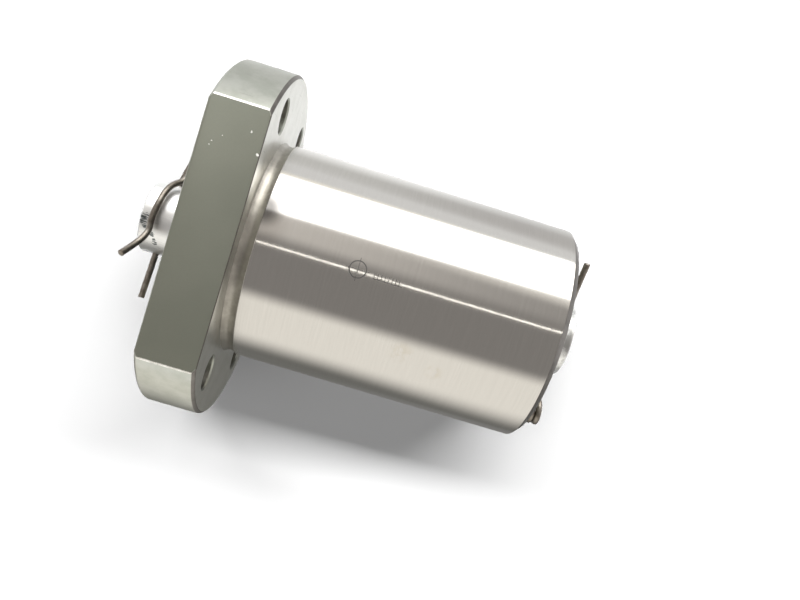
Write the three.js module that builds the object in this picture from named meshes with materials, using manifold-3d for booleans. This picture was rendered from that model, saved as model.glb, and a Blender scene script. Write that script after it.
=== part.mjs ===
// A flanged, return-tube ball screw nut on the mandrel that it is shipped on. Millimetres.
// Every length along the nut is measured from the flange's seat face: x = 0 there, the round body
// runs towards +X and the flange towards -X. The flange's two flats face +Z and -Z.

import * as THREE from "three";
import { mergeVertices } from "three/addons/utils/BufferGeometryUtils.js";
import Module from "manifold-3d";

const wasm = await Module();
wasm.setup();

// ---- Driving dimensions ----

const BODY = { radius: 30, length: 83, noseChamfer: 1.3, neckRadius: 29.4, neckLength: 3, neckTaper: 0.5 };
const FLANGE = { radius: 48, thickness: 15, halfFlats: 36, arcChamfer: 1.2, flatChamfer: 0.45 };
const BOLT = { circle: 39, radius: 4.5, headRadius: 7, headDepth: 8.5, angles: [30, 150, 210, 330] };
const BORE = { radius: 12.8 };
const RACEWAY = { radius: 13.4, lead: 10, groove: 3.9, start: -8, end: 76, stepsPerTurn: 16, sides: 8 };
const BALL = { radius: 3.175, pitch: 6.4, linkRadius: 0.7 };
const CIRCUIT = { turns: 2.5, starts: { flange_side: 9.5, nose_side: 39.5 } };
const TUBE = { radius: 4.05, hole: 3.35, crossing: -23.5, bend: 8, mouth: -1, sides: 10, steps: 24 };
const POCKET = { start: 3.6, end: 70.4, halfWidth: 19, floor: -19.2, corner: 8 };
const CLAMP = { thickness: 1.2, width: 8, foot: 13.7, screwOffset: 10.5, screwHole: 1.7 };
const CLAMP_SCREW = {
  radius: 1.35, length: 3.8, headRadius: 2.75, headHeight: 1.6, hex: 1.15, hexDepth: 0.9,
};
const CLAMP_SCREW_HOLE = { radius: 1.65, depth: 2.9 };
const SEAL = {
  seatRadius: 17.5, seatDepth: 6, radius: 17.2, hole: 10.4, lipHole: 11.6, recess: 0.4, gap: 0.3,
};
const SET_SCREW = { radius: 1.35, hole: 1.65, length: 5, hex: 0.85, hexDepth: 1.6, start: 17.9 };
const SEAL_SCREWS = { flange: [270], nose: [240, 300] };
const GREASE = {
  x: -7.5, hole: 1.3, tapRadius: 3, tapDepth: 9, plugRadius: 2.7, plugLength: 6, plugInset: 1,
};
const GREASE_HEX = { radius: 1.7, depth: 3 };
const MANDREL = { radius: 10, hole: 5.5, start: -30.3, end: 90.5, chamfer: 0.4, clipHole: 1.2 };
const WIRE = { radius: 0.85, sides: 6, steps: 60 };
const CLIP_RING = { centre: -22.5, radius: 3, turns: 1.5, sideStep: -1.75, stepsPerTurn: 12 };
// How far in from the mandrel's end each clip goes through, the turn of its straight leg from -Y or
// +Y in degrees, how far its ring bows towards the nut, how much its bent leg's tip splays away
// from the nut, and how far that tip leans along the straight leg.
const CLIPS = {
  flange: { inset: 4.35, turn: 8, bow: -2.6, splay: 1, lean: 0 },
  nose: { inset: 3.6, turn: 20, bow: 0, splay: 0.2, lean: 3.4 },
};

// Running clearance left between two solids that touch on the real nut.
const GAP = 0.3;

const X = new THREE.Vector3(1, 0, 0);
const Y = new THREE.Vector3(0, 1, 0);
const Z = new THREE.Vector3(0, 0, 1);
const radians = THREE.MathUtils.degToRad;
const point = (x, y, z) => new THREE.Vector3(x, y, z);
const around = (x, radius, angle) => point(x, radius * Math.cos(angle), radius * Math.sin(angle));

// ---- Materials ----

const metal = (color, roughness, metalness = 1) =>
  new THREE.MeshStandardMaterial({ color, roughness, metalness });
const groundSteel = metal(0x9a9890, 0.32);
const springSteel = metal(0x5b554b, 0.4);
const aluminium = metal(0xd8d9d6, 0.35);
const ballSteel = metal(0xb9bcc0, 0.08);
const tubeSteel = metal(0x8c8a84, 0.3);
const clampSteel = metal(0x77746c, 0.45);
const blackOxide = metal(0x2b2a29, 0.5);
const sealPlastic = metal(0x26282b, 0.6, 0);

// ---- Solids ----

// A closed geometry as a manifold-3d solid.
function solid(geometry) {
  const bare = geometry.clone();
  bare.deleteAttribute("normal");
  bare.deleteAttribute("uv");
  const merged = mergeVertices(bare, 1e-4);
  return new wasm.Manifold(
    new wasm.Mesh({
      numProp: 3,
      vertProperties: new Float32Array(merged.attributes.position.array),
      triVerts: new Uint32Array(merged.index.array),
    }),
  );
}

// A manifold-3d solid as a geometry.
function geometryOf(made) {
  const mesh = made.getMesh();
  const geometry = new THREE.BufferGeometry();
  geometry.setAttribute("position", new THREE.BufferAttribute(mesh.vertProperties, 3));
  geometry.setIndex(new THREE.BufferAttribute(mesh.triVerts, 1));
  geometry.computeVertexNormals();
  return geometry;
}

const unite = (solids) => solids.reduce((all, next) => all.add(next));
const cut = (made, tools) => tools.reduce((left, tool) => left.subtract(tool), made);

// A solid of revolution about the X axis. Its profile is a list of [x, radius], in order of x.
function turned(profile, sides = 48) {
  const points = profile.map(([x, radius]) => new THREE.Vector2(radius, x));
  return new THREE.LatheGeometry(points, sides).rotateZ(-Math.PI / 2);
}

// A cylinder from one point to another.
function rod(from, to, radius, sides = 24) {
  const axis = to.clone().sub(from);
  const turn = new THREE.Quaternion().setFromUnitVectors(Y, axis.clone().normalize());
  const middle = from.clone().add(to).multiplyScalar(0.5);
  return new THREE.CylinderGeometry(radius, radius, axis.length(), sides)
    .applyQuaternion(turn)
    .translate(middle.x, middle.y, middle.z);
}

const circle = (radius, sides) =>
  Array.from({ length: sides }, (_, i) =>
    new THREE.Vector2(radius, 0).rotateAround(new THREE.Vector2(), (i / sides) * 2 * Math.PI));

// A round section swept along a curve, hollow if a hole radius is given.
function swept(curve, steps, radius, sides, hole = 0) {
  const section = new THREE.Shape(circle(radius, sides));
  if (hole) section.holes.push(new THREE.Path(circle(hole, sides)));
  return new THREE.ExtrudeGeometry(section, { extrudePath: curve, steps });
}

// A path through corner points, with each inner corner rounded to one bend radius.
function bentPath(corners, bend) {
  const path = new THREE.CurvePath();
  let from = corners[0];
  for (let i = 1; i < corners.length - 1; i++) {
    const arriving = corners[i].clone().sub(corners[i - 1]).normalize();
    const leaving = corners[i + 1].clone().sub(corners[i]).normalize();
    const turn = arriving.angleTo(leaving);
    const reach = bend * Math.tan(turn / 2);
    const handle = (4 / 3) * bend * Math.tan(turn / 4);
    const start = corners[i].clone().addScaledVector(arriving, -reach);
    const end = corners[i].clone().addScaledVector(leaving, reach);
    path.add(new THREE.LineCurve3(from, start));
    path.add(new THREE.CubicBezierCurve3(
      start,
      start.clone().addScaledVector(arriving, handle),
      end.clone().addScaledVector(leaving, -handle),
      end,
    ));
    from = end;
  }
  path.add(new THREE.LineCurve3(from, corners.at(-1)));
  return path;
}

// ---- Where the balls run ----

// The right-hand helix of the ball centres. Angle 0 is at +Y, at x = the start of the helix.
class Helix extends THREE.Curve {
  constructor(start, turns) {
    super();
    this.start = start;
    this.turns = turns;
    this.arcLengthDivisions = 60 * Math.ceil(Math.abs(turns));
  }

  getPoint(t, target = new THREE.Vector3()) {
    const turn = this.turns * t;
    return target.copy(around(this.start + RACEWAY.lead * turn, RACEWAY.radius, 2 * Math.PI * turn));
  }
}

// Where a return tube's two legs meet the ball circle, and the corners of its centre line.
function tubeCorners(start) {
  const end = start + CIRCUIT.turns * RACEWAY.lead;
  return [
    point(start, RACEWAY.radius, TUBE.mouth),
    point(start, RACEWAY.radius, TUBE.crossing),
    point(end, -RACEWAY.radius, TUBE.crossing),
    point(end, -RACEWAY.radius, TUBE.mouth),
  ];
}

// The middle of a return tube's crossing, as the frame its clamp is built in:
// +X across the tube, +Y outwards from the nut, +Z along the tube.
function crossingFrame(start) {
  const [, from, to] = tubeCorners(start);
  const along = to.clone().sub(from).normalize();
  const outwards = Z.clone().negate();
  const across = outwards.clone().cross(along);
  const middle = from.clone().add(to).multiplyScalar(0.5).setZ(POCKET.floor);
  return new THREE.Matrix4().makeBasis(across, outwards, along).setPosition(middle);
}

// The two screw places of a clamp, on the pocket floor.
const clampScrewPoints = (start) =>
  [-1, 1].map((side) => point(side * CLAMP.screwOffset, 0, 0).applyMatrix4(crossingFrame(start)));

// ---- Nut body ----

function flange() {
  const { radius, thickness, halfFlats, arcChamfer, flatChamfer } = FLANGE;
  const disc = turned([
    [-thickness, 0],
    [-thickness, radius - arcChamfer],
    [-thickness + arcChamfer, radius],
    [-arcChamfer, radius],
    [0, radius - arcChamfer],
    [0, 0],
  ], 72);
  const outline = new THREE.Shape([
    new THREE.Vector2(-thickness - 1, -halfFlats + flatChamfer + 1),
    new THREE.Vector2(-thickness - 1, halfFlats - flatChamfer - 1),
    new THREE.Vector2(-thickness + flatChamfer, halfFlats),
    new THREE.Vector2(-flatChamfer, halfFlats),
    new THREE.Vector2(1, halfFlats - flatChamfer - 1),
    new THREE.Vector2(1, -halfFlats + flatChamfer + 1),
    new THREE.Vector2(-flatChamfer, -halfFlats),
    new THREE.Vector2(-thickness + flatChamfer, -halfFlats),
  ].reverse());
  const flats = new THREE.ExtrudeGeometry(outline, { depth: 2.2 * radius, bevelEnabled: false })
    .translate(0, 0, -1.1 * radius)
    .rotateX(Math.PI / 2);
  return solid(disc).intersect(solid(flats));
}

function roundBody() {
  const { radius, length, noseChamfer, neckRadius, neckLength, neckTaper } = BODY;
  return solid(turned([
    [-1, 0],
    [-1, neckRadius],
    [neckLength, neckRadius],
    [neckLength + neckTaper, radius],
    [length - noseChamfer, radius],
    [length, radius - noseChamfer],
    [length, 0],
  ], 72));
}

function boltHoles() {
  return BOLT.angles.flatMap((degrees) => {
    const at = (x) => around(x, BOLT.circle, radians(degrees));
    const outer = -FLANGE.thickness;
    return [
      solid(rod(at(outer - 1), at(1), BOLT.radius)),
      solid(rod(at(outer - 1), at(outer + BOLT.headDepth), BOLT.headRadius)),
    ];
  });
}

function racewayGroove() {
  const turns = (RACEWAY.end - RACEWAY.start) / RACEWAY.lead;
  const lead = CIRCUIT.starts.flange_side - RACEWAY.start;
  // The groove is the same helix as the ball circuits', so it starts a part turn before them.
  const curve = new Helix(RACEWAY.start, turns);
  const groove = swept(curve, Math.round(turns * RACEWAY.stepsPerTurn), RACEWAY.groove, RACEWAY.sides);
  return solid(groove.rotateX((-lead / RACEWAY.lead) * 2 * Math.PI));
}

// The milled pocket in the underside, with its rounded ends, as deep as the return tubes need.
function tubePocket() {
  const { start, end, halfWidth, floor, corner } = POCKET;
  const outline = new THREE.Shape();
  outline.absarc(end - corner, halfWidth - corner, corner, 0, Math.PI / 2);
  outline.absarc(start + corner, halfWidth - corner, corner, Math.PI / 2, Math.PI);
  outline.absarc(start + corner, corner - halfWidth, corner, Math.PI, 1.5 * Math.PI);
  outline.absarc(end - corner, corner - halfWidth, corner, 1.5 * Math.PI, 2 * Math.PI);
  const depth = BODY.radius + floor + 2;
  return solid(new THREE.ExtrudeGeometry(outline, { depth, bevelEnabled: false, curveSegments: 6 })
    .translate(0, 0, floor - depth));
}

// The room for a return tube: its legs' holes, eased where the tube bends into the pocket.
function tubeRoom(start) {
  const corners = tubeCorners(start);
  corners[0].setZ(1);
  corners.at(-1).setZ(1);
  return solid(swept(bentPath(corners, TUBE.bend), TUBE.steps, TUBE.radius + GAP, TUBE.sides));
}

const clampScrewHoles = (start) =>
  clampScrewPoints(start).map((at) => {
    const bottom = at.clone().setZ(POCKET.floor + CLAMP_SCREW_HOLE.depth);
    return solid(rod(at.clone().setZ(POCKET.floor - 1), bottom, CLAMP_SCREW_HOLE.radius, 12));
  });

const sealPlaces = [
  { end: "flange", face: -FLANGE.thickness, inwards: 1, angles: SEAL_SCREWS.flange },
  { end: "nose", face: BODY.length, inwards: -1, angles: SEAL_SCREWS.nose },
];

const sealMiddle = ({ face, inwards }) => face + inwards * (SEAL.seatDepth / 2);

function sealSeat(place) {
  const rim = place.face - place.inwards;
  const floor = place.face + place.inwards * SEAL.seatDepth;
  const x = Math.min(rim, floor);
  const seat = solid(turned([[x, 0], [x, SEAL.seatRadius], [x + SEAL.seatDepth + 1, SEAL.seatRadius],
    [x + SEAL.seatDepth + 1, 0]]));
  const screwHoles = place.angles.map((degrees) => {
    const at = (radius) => around(sealMiddle(place), radius, radians(degrees));
    return solid(rod(at(SEAL.seatRadius - 1), at(FLANGE.radius), SET_SCREW.hole, 12));
  });
  return [seat, ...screwHoles];
}

function greaseHole() {
  const at = (y) => point(GREASE.x, y, 0);
  const rim = FLANGE.radius;
  return [
    solid(rod(at(BORE.radius - 1), at(rim), GREASE.hole, 12)),
    solid(rod(at(rim - GREASE.tapDepth), at(rim + 1), GREASE.tapRadius)),
  ];
}

function nutBody() {
  const starts = Object.values(CIRCUIT.starts);
  const bore = rod(point(-FLANGE.thickness - 1, 0, 0), point(BODY.length + 1, 0, 0), BORE.radius, 32);
  return cut(roundBody().add(flange()), [
    solid(bore),
    racewayGroove(),
    tubePocket(),
    ...starts.map(tubeRoom),
    ...starts.flatMap(clampScrewHoles),
    ...sealPlaces.flatMap(sealSeat),
    ...greaseHole(),
    ...boltHoles(),
  ]);
}

// ---- Ball circuits ----

// The tube's mouths are cut back to the bore, so that they lift the balls out without entering it.
function returnTube(start) {
  const path = bentPath(tubeCorners(start), TUBE.bend);
  const tube = swept(path, TUBE.steps, TUBE.radius, TUBE.sides, TUBE.hole);
  const screw = rod(point(start - 10, 0, 0), point(start + 35, 0, 0), BORE.radius + GAP, 48);
  return solid(tube).subtract(solid(screw));
}

// The ball centres of one circuit: first those in the raceway, then those in the return tube.
function ballCentres(start) {
  const helix = new Helix(start, CIRCUIT.turns);
  const corners = tubeCorners(start);
  corners[0].setZ(0);
  corners.at(-1).setZ(0);
  const tube = bentPath(corners, TUBE.bend);
  const helixLength = helix.getLength();
  const loop = helixLength + tube.getLength();
  const count = Math.floor(loop / BALL.pitch);
  const loaded = [];
  const returning = [];
  for (let i = 0; i < count; i++) {
    const travelled = ((i + 0.5) / count) * loop;
    if (travelled < helixLength) loaded.push(helix.getPointAt(travelled / helixLength));
    else returning.push(tube.getPointAt((travelled - helixLength) / (loop - helixLength)));
  }
  return { loaded, returning };
}

// A row of balls. Thin links stand for the contact between neighbours and keep the row one solid.
function ballRow(centres) {
  const balls = centres.map(({ x, y, z }) =>
    solid(new THREE.IcosahedronGeometry(BALL.radius).translate(x, y, z)));
  const links = centres.slice(1).map((c, i) => solid(rod(centres[i], c, BALL.linkRadius, 3)));
  return unite([...balls, ...links]);
}

// A sheet-steel saddle over the return tube, with a screwed foot on each side of it.
function tubeClamp(start) {
  const { thickness, width, foot, screwOffset, screwHole } = CLAMP;
  const inner = TUBE.radius + GAP;
  const outer = inner + thickness;
  const height = POCKET.floor - TUBE.crossing;
  const outline = new THREE.Shape();
  outline.moveTo(foot, GAP);
  outline.lineTo(foot, thickness);
  outline.lineTo(outer, thickness);
  outline.absarc(0, height, outer, 0, Math.PI);
  outline.lineTo(-outer, thickness);
  outline.lineTo(-foot, thickness);
  outline.lineTo(-foot, GAP);
  outline.lineTo(-inner, GAP);
  outline.absarc(0, height, inner, Math.PI, 0, true);
  outline.lineTo(inner, GAP);
  const extrusion = { depth: width, bevelEnabled: false, curveSegments: 7 };
  const strap = solid(new THREE.ExtrudeGeometry(outline, extrusion).translate(0, 0, -width / 2));
  const holes = [-1, 1].map((side) =>
    solid(rod(point(side * screwOffset, 0, 0), point(side * screwOffset, thickness + 1, 0), screwHole, 12)));
  return geometryOf(cut(strap, holes)).applyMatrix4(crossingFrame(start));
}

// A hexagon-socket screw along +Y, its head's seat at y = 0 and its shank below.
function clampScrew() {
  const { radius, length, headRadius, headHeight, hex, hexDepth } = CLAMP_SCREW;
  const shank = rod(point(0, -length, 0), point(0, headHeight / 2, 0), radius, 12);
  const head = new THREE.CylinderGeometry(headRadius * 0.85, headRadius, headHeight, 20)
    .translate(0, headHeight / 2, 0);
  const socket = rod(point(0, headHeight - hexDepth, 0), point(0, headHeight + 1, 0), hex, 6);
  return geometryOf(solid(shank).add(solid(head)).subtract(solid(socket)));
}

// A grub screw from one point to another, with its hexagon socket at the second.
function grubScrew(from, to, radius, hex, hexDepth) {
  const back = from.clone().sub(to).normalize();
  const socketEnd = to.clone().addScaledVector(back, hexDepth);
  const beyond = to.clone().addScaledVector(back, -1);
  return geometryOf(solid(rod(from, to, radius, 12)).subtract(solid(rod(socketEnd, beyond, hex, 6))));
}

// ---- Seals and small parts ----

// A wiper ring with a thinner lip at its inner side.
function seal({ face, inwards }) {
  const { radius, hole, lipHole, recess, seatDepth, gap } = SEAL;
  const length = seatDepth - recess - gap;
  const outside = face + inwards * recess;
  const profile = [
    [outside, hole],
    [outside, radius],
    [outside + inwards * length, radius],
    [outside + inwards * length, lipHole],
    [outside + inwards * length * 0.4, lipHole],
    [outside + inwards * length * 0.3, hole],
    [outside, hole],
  ];
  return turned(inwards > 0 ? profile : profile.reverse(), 32);
}

const sealScrew = (place, degrees) => {
  const at = (radius) => around(sealMiddle(place), radius, radians(degrees));
  return grubScrew(at(SET_SCREW.start), at(SET_SCREW.start + SET_SCREW.length), SET_SCREW.radius,
    SET_SCREW.hex, SET_SCREW.hexDepth);
};

function greasePlug() {
  const outer = FLANGE.radius - GREASE.plugInset;
  return grubScrew(point(GREASE.x, outer - GREASE.plugLength, 0), point(GREASE.x, outer, 0),
    GREASE.plugRadius, GREASE_HEX.radius, GREASE_HEX.depth);
}

// ---- Mandrel and its clips ----

const clipPlaces = [
  { end: "flange", x: MANDREL.start + CLIPS.flange.inset, outwards: -1, ...CLIPS.flange },
  { end: "nose", x: MANDREL.end - CLIPS.nose.inset, outwards: 1, ...CLIPS.nose },
];

// A clip's own frame: +X along its straight leg to the tip, +Y towards its bent leg, +Z outwards
// from the nut. The straight leg passes through the mandrel's axis.
function clipFrame({ x, outwards, turn }) {
  const away = X.clone().multiplyScalar(outwards);
  const tip = around(0, outwards, -radians(turn));
  return new THREE.Matrix4().makeBasis(tip, away.clone().cross(tip), away).setPosition(x, 0, 0);
}

function mandrel() {
  const { radius, hole, start, end, chamfer, clipHole } = MANDREL;
  const tube = solid(turned([
    [start, hole],
    [start, radius - chamfer],
    [start + chamfer, radius],
    [end - chamfer, radius],
    [end, radius - chamfer],
    [end, hole],
    [start, hole],
  ], 32));
  const holes = clipPlaces.map((place) => {
    const across = rod(point(-radius - 1, 0, 0), point(radius + 1, 0, 0), clipHole, 12);
    return solid(across.applyMatrix4(clipFrame(place)));
  });
  return cut(tube, holes);
}

// The centre line of a spring R-clip, in its own frame: straight leg, ring, and the bent leg that
// lies over the mandrel and flares away at its tip.
function clipWire({ bow, splay, lean }) {
  const { centre, radius, turns, sideStep, stepsPerTurn } = CLIP_RING;
  const straightLeg = [[22.6, 0], [12, 0], [0, 0], [-9, 0.07], [-12, 0.21], [-15.5, 0.46], [-19, 0.71]]
    .map(([along, bent]) => point(along, 0, bent * bow));
  const ring = [];
  for (let i = 0; i <= turns * stepsPerTurn; i++) {
    const turn = i / stepsPerTurn;
    const angle = 2 * Math.PI * turn;
    ring.push(point(
      centre - radius * Math.sin(angle),
      radius - radius * Math.cos(angle),
      bow + sideStep * turn,
    ));
  }
  const ringEnd = bow + sideStep * turns;
  const fromRing = [
    [-19.3, 5.6, 0.97],
    [-16.2, 4.8, 0.85],
    [-13.6, 4.3, 0.66],
    [-11, 5.2, 0.42],
    [-8.3, 8.1, 0.1],
  ].map(([along, up, share]) => point(along, up, share * ringEnd));
  const toTip = [
    [-5.5, 10.3, 0, 0],
    [-2.2, 11.4, 0.35, 0],
    [2, 11.5, 0.75, 0],
    [5.3, 11, 0.7, 0],
    [7.8, 11.9, 1.3, 0.1],
    [10.5, 14, 2.4, 0.45],
    [13.6, 17.6, 3.5, 1],
  ].map(([along, up, side, share]) => point(along + share * lean, up, side * splay));
  return new THREE.CatmullRomCurve3([...straightLeg, ...ring, ...fromRing, ...toTip]);
}

const clip = (place) =>
  swept(clipWire(place), WIRE.steps, WIRE.radius, WIRE.sides).applyMatrix4(clipFrame(place));

// ---- Assembly ----

const part = new THREE.Group();
part.name = "ball_screw_nut";
// The part's origin is the middle of its box: on the axis, halfway along the mandrel.
const nut = new THREE.Group();
nut.position.x = -(MANDREL.start + MANDREL.end) / 2;
part.add(nut);

function place(name, geometry, material) {
  const mesh = new THREE.Mesh(geometry, material);
  mesh.name = name;
  nut.add(mesh);
  return mesh;
}

place("nut_body", geometryOf(nutBody()), groundSteel);

for (const [side, start] of Object.entries(CIRCUIT.starts)) {
  const { loaded, returning } = ballCentres(start);
  place("return_tube_" + side, geometryOf(returnTube(start)), tubeSteel);
  place("loaded_balls_" + side, geometryOf(ballRow(loaded)), ballSteel);
  place("returning_balls_" + side, geometryOf(ballRow(returning)), ballSteel);
  place("tube_clamp_" + side, tubeClamp(start), clampSteel);
  clampScrewPoints(start).forEach((at, i) => {
    const screw = place("clamp_screw_" + side + "_" + (i + 1), clampScrew(), blackOxide);
    screw.position.copy(at).setZ(POCKET.floor - CLAMP.thickness - GAP);
    screw.rotation.x = -Math.PI / 2;
  });
}

for (const where of sealPlaces) {
  place("seal_" + where.end, seal(where), sealPlastic);
  where.angles.forEach((degrees, i) => {
    place("seal_set_screw_" + where.end + "_" + (i + 1), sealScrew(where, degrees), blackOxide);
  });
}

place("grease_plug", greasePlug(), blackOxide);
place("mandrel", geometryOf(mandrel()), aluminium);
for (const where of clipPlaces) place("clip_" + where.end, clip(where), springSteel);

export default part;
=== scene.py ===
"""The looks of a flanged ball screw nut on its shipping mandrel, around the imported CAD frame.

Lengths are metres, as the frame's are. MM turns the millimetres of the design into them.
"""

import math
from functools import partial, partialmethod

import bmesh
import bpy
from mathutils import Matrix, Vector
from mathutils.geometry import interpolate_bezier

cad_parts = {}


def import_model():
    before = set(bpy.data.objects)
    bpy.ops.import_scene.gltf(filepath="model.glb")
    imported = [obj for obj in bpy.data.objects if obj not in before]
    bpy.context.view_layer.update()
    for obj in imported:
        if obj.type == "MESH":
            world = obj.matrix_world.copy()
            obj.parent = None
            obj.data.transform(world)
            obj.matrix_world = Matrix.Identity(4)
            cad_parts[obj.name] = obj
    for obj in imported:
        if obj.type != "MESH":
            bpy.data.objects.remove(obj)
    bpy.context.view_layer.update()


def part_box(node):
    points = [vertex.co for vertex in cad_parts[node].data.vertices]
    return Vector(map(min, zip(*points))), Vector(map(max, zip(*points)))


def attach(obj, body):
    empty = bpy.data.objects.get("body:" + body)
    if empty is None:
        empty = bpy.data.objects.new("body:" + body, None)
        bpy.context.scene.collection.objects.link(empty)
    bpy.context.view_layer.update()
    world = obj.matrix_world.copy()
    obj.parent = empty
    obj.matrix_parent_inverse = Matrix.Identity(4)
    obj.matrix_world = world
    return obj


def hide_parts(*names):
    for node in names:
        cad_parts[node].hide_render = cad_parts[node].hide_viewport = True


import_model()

MM = 0.001

# ---- Places and sizes, from the frame ----

nut_low, nut_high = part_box("nut_body")
mandrel_low, mandrel_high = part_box("mandrel")

FLANGE_THICKNESS = 15 * MM
OUTER_FACE = nut_low.x
SEAT = OUTER_FACE + FLANGE_THICKNESS
NOSE = nut_high.x
FLANGE_RADIUS = nut_high.y
HALF_FLATS = nut_high.z
BODY_RADIUS = 30 * MM
NECK = {"edge": 29.9 * MM, "depth": 0.7 * MM, "length": 3.4 * MM}
NOSE_CHAMFER = 1.6 * MM
ARC_CHAMFER = 0.8 * MM
EDGE_BREAK = 0.22 * MM

BOLT = {"circle": 39 * MM, "radius": 4.5 * MM, "head_radius": 7 * MM, "head_depth": 8.5 * MM}
BOLT_ANGLES = (30, 150, 210, 330)
HOLE_CHAMFER = 0.4 * MM

BORE_RADIUS = 12.8 * MM
BALL_CIRCLE = 13.4 * MM
BALL_RADIUS = 3.175 * MM
BALL_PITCH = 6.4 * MM
LEAD = 10 * MM
TURNS_TO_NOSE = 7.1
GROOVE_RADIUS = 3.5 * MM
CIRCUIT_TURNS = 2.5
CIRCUITS = {"flange_side": SEAT + 9.5 * MM, "nose_side": SEAT + 39.5 * MM}
TUBE = {"radius": 4.05 * MM, "hole": 3.35 * MM, "crossing": -23.5 * MM, "bend": 8 * MM, "mouth": -1 * MM}
POCKET = {"start": SEAT + 3.6 * MM, "end": SEAT + 70.4 * MM, "half_width": 19 * MM, "corner": 8 * MM}
POCKET_FLOOR = -19.2 * MM
CLAMP = {"thickness": 1.2 * MM, "width": 8 * MM, "foot": 13.7 * MM, "screw_offset": 10.5 * MM}
SEAL_SEAT = {"radius": 17.5 * MM, "depth": 6 * MM}
SEAL = {"radius": 17.2 * MM, "hole": 10.4 * MM, "recess": 0.4 * MM, "length": 5.3 * MM}
SEAL_SCREWS = {"flange": (270,), "nose": (240, 300)}
SEAL_SCREW_START = 17.9 * MM
SEAL_HOLE = 1.65 * MM
SEAL_SCREW = {"length": 5 * MM, "radius": 1.35 * MM, "socket": 0.85 * MM, "depth": 1.6 * MM}
CLAMP_SCREW = {"thread": 1.35 * MM, "length": 3.8 * MM, "socket": 1.15 * MM, "depth": 0.9 * MM}
CLAMP_HOLE = {"radius": 1.65 * MM, "depth": 2.9 * MM, "in_clamp": 1.7 * MM}
GREASE_X = SEAT - 7.5 * MM
GREASE = {"way": 1.3 * MM, "tap": 3 * MM, "depth": 9 * MM, "inset": 1 * MM}
GREASE_PLUG = {"length": 6 * MM, "radius": 2.7 * MM, "socket": 1.7 * MM, "depth": 3 * MM}

MANDREL = {"radius": mandrel_high.y, "hole": 5.5 * MM, "chamfer": 0.4 * MM, "clip_hole": 1.2 * MM}
WIRE_RADIUS = 0.85 * MM
GAP = 0.3 * MM

# The nut lies on the edge of one flat and on the rim of its nose.
TABLE_TILT = math.atan2(HALF_FLATS - BODY_RADIUS, NOSE - NOSE_CHAMFER - SEAT)
TABLE_NORMAL = Vector((-math.sin(TABLE_TILT), 0, math.cos(TABLE_TILT)))


def around(x, radius, degrees):
    """A point at a distance from the X axis, at an angle from +Y towards +Z."""
    angle = math.radians(degrees)
    return Vector((x, radius * math.cos(angle), radius * math.sin(angle)))


def placed(x_axis, y_axis, z_axis, at):
    """The matrix of a frame with these axes at a place."""
    matrix = Matrix((x_axis, y_axis, z_axis)).transposed().to_4x4()
    matrix.translation = at
    return matrix


# ---- Mesh building ----


def from_bmesh(name, bm):
    bmesh.ops.recalc_face_normals(bm, faces=bm.faces)
    mesh = bpy.data.meshes.new(name)
    bm.to_mesh(mesh)
    bm.free()
    piece = bpy.data.objects.new(name, mesh)
    bpy.context.scene.collection.objects.link(piece)
    return piece


def skinned(name, loops, closed=False):
    """A mesh between loops of points. Its ends are capped, or joined if closed."""
    bm = bmesh.new()
    loops = [[bm.verts.new(point) for point in loop] for loop in loops]
    pairs = list(zip(loops, loops[1:]))
    if closed:
        pairs.append((loops[-1], loops[0]))
    for low, high in pairs:
        for i in range(len(low)):
            j = (i + 1) % len(low)
            bm.faces.new((low[i], low[j], high[j], high[i]))
    if not closed:
        bm.faces.new(loops[0])
        bm.faces.new(loops[-1])
    return from_bmesh(name, bm)


def loft(name, rings, sides, closed=False):
    """Skins rings of (centre, axis_a, axis_b, radius)."""
    loops = []
    for centre, axis_a, axis_b, radius in rings:
        loop = []
        for i in range(sides):
            angle = 2 * math.pi * i / sides
            spoke = math.cos(angle) * axis_a + math.sin(angle) * axis_b
            loop.append(centre + radius * spoke)
        loops.append(loop)
    return skinned(name, loops, closed)


def lathe(name, profile, sides=192, closed=False, origin=Vector(), axis=Vector((1, 0, 0))):
    """Turns a profile of (distance along the axis, radius) pairs."""
    axis_a = axis.orthogonal().normalized() if abs(axis.x) < 0.9 else Vector((0, 1, 0))
    axis_b = axis.cross(axis_a)
    rings = [(origin + along * axis, axis_a, axis_b, radius) for along, radius in profile]
    return loft(name, rings, sides, closed)


def rounded(profile, radius, steps=3):
    """A profile with each inner corner rounded to a radius, or to what its neighbours leave room for."""
    points = [Vector(p) for p in profile]
    made = [profile[0]]
    for before, corner, after in zip(points, points[1:], points[2:]):
        back, ahead = before - corner, after - corner
        half = back.angle(ahead) / 2
        reach = min(radius / math.tan(half), 0.45 * back.length, 0.45 * ahead.length)
        start, end = corner + reach * back.normalized(), corner + reach * ahead.normalized()
        for k in range(steps + 1):
            t = k / steps
            point = (1 - t) ** 2 * start + 2 * t * (1 - t) * corner + t * t * end
            made.append(tuple(point))
    made.append(profile[-1])
    return made


def rod(name, start, end, radius, sides=48):
    axis = (end - start).normalized()
    length = (end - start).length
    return lathe(name, [(0, radius), (length, radius)], sides, origin=start, axis=axis)


def prism(name, outline, depth, matrix=Matrix.Identity(4)):
    """Extrudes a flat outline of (x, y) pairs along +Z by a depth."""
    return skinned(name, [[matrix @ Vector((x, y, z)) for x, y in outline] for z in (0, depth)])


def arc(centre, radius, start, end, steps):
    """Points of an arc, with its angles in degrees."""
    angles = [math.radians(start + (end - start) * k / steps) for k in range(steps + 1)]
    return [(centre[0] + radius * math.cos(a), centre[1] + radius * math.sin(a)) for a in angles]


def bake_modifiers(piece):
    """Replaces the piece's mesh with what its modifiers make of it."""
    depsgraph = bpy.context.evaluated_depsgraph_get()
    depsgraph.update()
    mesh = bpy.data.meshes.new_from_object(piece.evaluated_get(depsgraph))
    piece.modifiers.clear()
    piece.data = mesh
    return piece


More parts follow.
